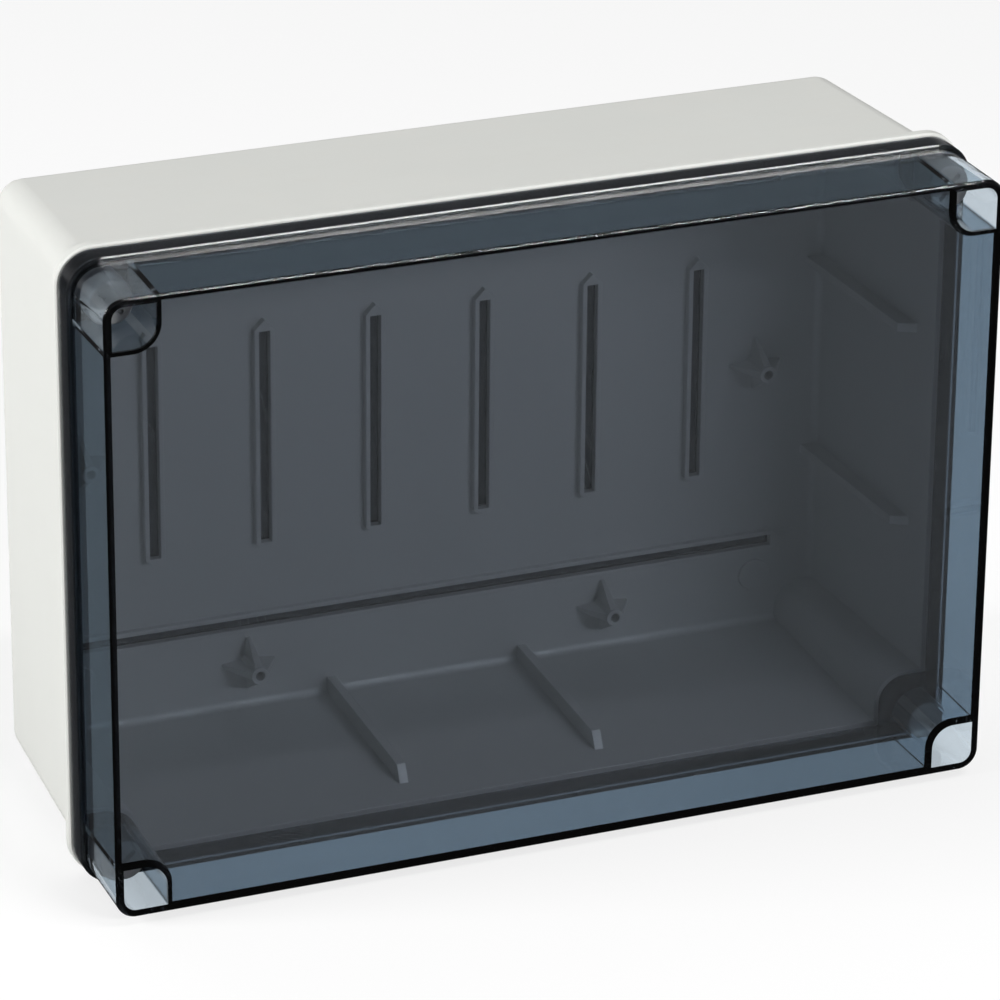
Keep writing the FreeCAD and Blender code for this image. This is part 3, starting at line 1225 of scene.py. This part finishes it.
def mirror_only(nodes: Nodes, path: bpy.types.Node) -> bpy.types.NodeSocket:
    """Mask of rays that were mirrored, without those that passed through a clear surface.

    Args:
        nodes: Nodes of the material or the world.
        path: Its Light Path node.

    Returns:
        The mask's socket.
    """
    return nodes.maths(
        "SUBTRACT", path.outputs["Is Glossy Ray"], path.outputs["Is Transmission Ray"], clamp=True
    )


@dataclass(frozen=True)
class Lamp:
    """A soft lamp, whose long side may lie along the box's width.

    The place and the sides are in metres and the power is in watts.
    """

    name: str
    place: tuple[float, float, float]
    sides: tuple[float, float]
    power: float
    along_width: bool = False


@dataclass
class Studio:
    """Pale floor, white surround, soft lamps and the camera."""

    aim: tuple[float, float, float] = (0.00136, -0.06406, -0.00737)
    distance: float = 1.71258
    azimuth: float = -22.172
    elevation: float = 23.773
    roll: float = 0.514
    lens: float = 193.94
    surround: float = 0.20
    ceiling: float = 0.08
    mirrored_floor: float = 0.05
    lamps: tuple[Lamp, ...] = (
        Lamp("side_left", (-1.9, 0.1, 0.8), (0.7, 0.7), 40.0),
        Lamp("key_front", (0.85, -1.95, 0.90), (0.90, 0.14), 36.0, along_width=True),
        Lamp("top_front", (0.63, -0.72, 1.6), (0.75, 0.08), 11.0, along_width=True),
        Lamp("top_back", (-0.2, 0.9, 1.7), (1.0, 1.0), 5.0),
    )

    def floor(self) -> None:
        """Makes the floor, which shows white but keeps the box's shadow."""
        level = cad_box[0].z
        mesh = bmesh.new()
        reach = 6.0
        corners = [(-reach, -reach), (reach, -reach), (reach, reach), (-reach, reach)]
        mesh.faces.new([mesh.verts.new((x, y, level)) for x, y in corners])
        material, nodes, principled, output = new_material("pale_floor")
        nodes.put(principled.inputs["Base Color"], (0.86, 0.86, 0.86, 1.0))
        nodes.put(principled.inputs["Roughness"], 0.9)
        nodes.put(principled.inputs["Specular IOR Level"], 0.1)
        glow = nodes.add("Emission")
        nodes.put(glow.inputs["Color"], (1.0, 1.0, 1.0, 1.0))
        nodes.put(glow.inputs["Strength"], 1.0)
        path = nodes.add("LightPath")
        seen = seen_ray(nodes, path)
        blend = nodes.add("MixShader")
        nodes.put(blend.inputs[0], nodes.maths("MULTIPLY", seen, 0.72))
        nodes.put(blend.inputs[1], principled.outputs[0])
        nodes.put(blend.inputs[2], glow.outputs[0])
        dim = nodes.add("Emission")
        nodes.put(dim.inputs["Color"], (1.0, 1.0, 1.0, 1.0))
        nodes.put(dim.inputs["Strength"], self.mirrored_floor)
        mirrored = nodes.add("MixShader")
        nodes.put(mirrored.inputs[0], mirror_only(nodes, path))
        nodes.put(mirrored.inputs[1], blend.outputs[0])
        nodes.put(mirrored.inputs[2], dim.outputs[0])
        nodes.put(output.inputs["Surface"], mirrored.outputs[0])
        floor = mesh_object("studio_floor", mesh, material)

    def world(self) -> None:
        """Makes the surround: white where it is seen, dimmer where it only lights."""
        world = bpy.data.worlds.new("studio_surround")
        bpy.context.scene.world = world
        world.use_nodes = True
        nodes = Nodes(world.node_tree)
        background = world.node_tree.nodes["Background"]
        path = nodes.add("LightPath")
        seen = seen_ray(nodes, path)
        where = nodes.add("TexCoord")
        height = nodes.add("SeparateXYZ")
        nodes.put(height.inputs[0], where.outputs["Generated"])
        mirrored = nodes.remap(height.outputs["Z"], 0.10, 0.36, 0.3, self.ceiling)
        mirrored = nodes.maths("MULTIPLY", mirrored, mirror_only(nodes, path))
        shown = nodes.maths("MAXIMUM", seen, path.outputs["Is Glossy Ray"])
        lighting = nodes.maths("SUBTRACT", 1.0, shown)
        lighting = nodes.maths("MULTIPLY", lighting, self.surround)
        nodes.put(background.inputs["Color"], (1.0, 1.0, 1.0, 1.0))
        strength = nodes.maths("ADD", seen, nodes.maths("ADD", mirrored, lighting))
        nodes.put(background.inputs["Strength"], strength)

    def hang(self, lamp: Lamp) -> None:
        """Adds a soft lamp that looks at the box.

        Args:
            lamp: The lamp's place, sides and power.
        """
        data = bpy.data.lights.new(lamp.name, "AREA")
        data.shape = "RECTANGLE"
        data.size, data.size_y = lamp.sides
        data.energy = lamp.power
        made = bpy.data.objects.new(lamp.name, data)
        made.location = lamp.place
        looking = Vector(self.aim) - Vector(lamp.place)
        if lamp.along_width:
            looking.x = 0.0
        made.rotation_euler = looking.to_track_quat("-Z", "Y").to_euler()
        bpy.context.scene.collection.objects.link(made)

    def camera(self) -> None:
        """Adds the camera at the photograph's angle and framing."""
        data = bpy.data.cameras.new("camera")
        data.sensor_width = 36.0
        data.lens = self.lens
        data.clip_start = 0.05
        data.clip_end = 50.0
        azimuth, elevation = math.radians(self.azimuth), math.radians(self.elevation)
        back = Vector(
            (
                math.sin(azimuth) * math.cos(elevation),
                -math.cos(azimuth) * math.cos(elevation),
                math.sin(elevation),
            )
        )
        made = bpy.data.objects.new("camera", data)
        level = (-back).to_track_quat("-Z", "Y")
        made.rotation_mode = "QUATERNION"
        made.rotation_quaternion = level @ Euler((0, 0, math.radians(self.roll))).to_quaternion()
        made.location = Vector(self.aim) + back * self.distance
        bpy.context.scene.collection.objects.link(made)
        bpy.context.scene.camera = made

    def build(self) -> None:
        """Makes the whole studio."""
        self.floor()
        self.world()
        for lamp in self.lamps:
            self.hang(lamp)
        self.camera()
        scene = bpy.context.scene
        scene.view_settings.view_transform = "Standard"
        scene.cycles.transparent_max_bounces = 32
        scene.cycles.transmission_bounces = 16
        scene.cycles.max_bounces = 20


def main() -> None:
    """Builds each sub-assembly in order and reports its pieces."""
    logging.basicConfig(level=logging.INFO, format="%(name)s: %(message)s")
    finishes = Finishes()
    assemblies = [Base(finishes), RimGasket(finishes), Lid(finishes)]
    assemblies += [LidScrew(finishes, number) for number in (1, 2, 3, 4)]
    for assembly in assemblies:
        kind = type(assembly).__name__
        for piece in assembly.build():
            LOG.info("%s: %s, %d faces", kind, piece.name, len(piece.data.polygons))
    Studio().build()


if __name__ == "__main__":
    main()
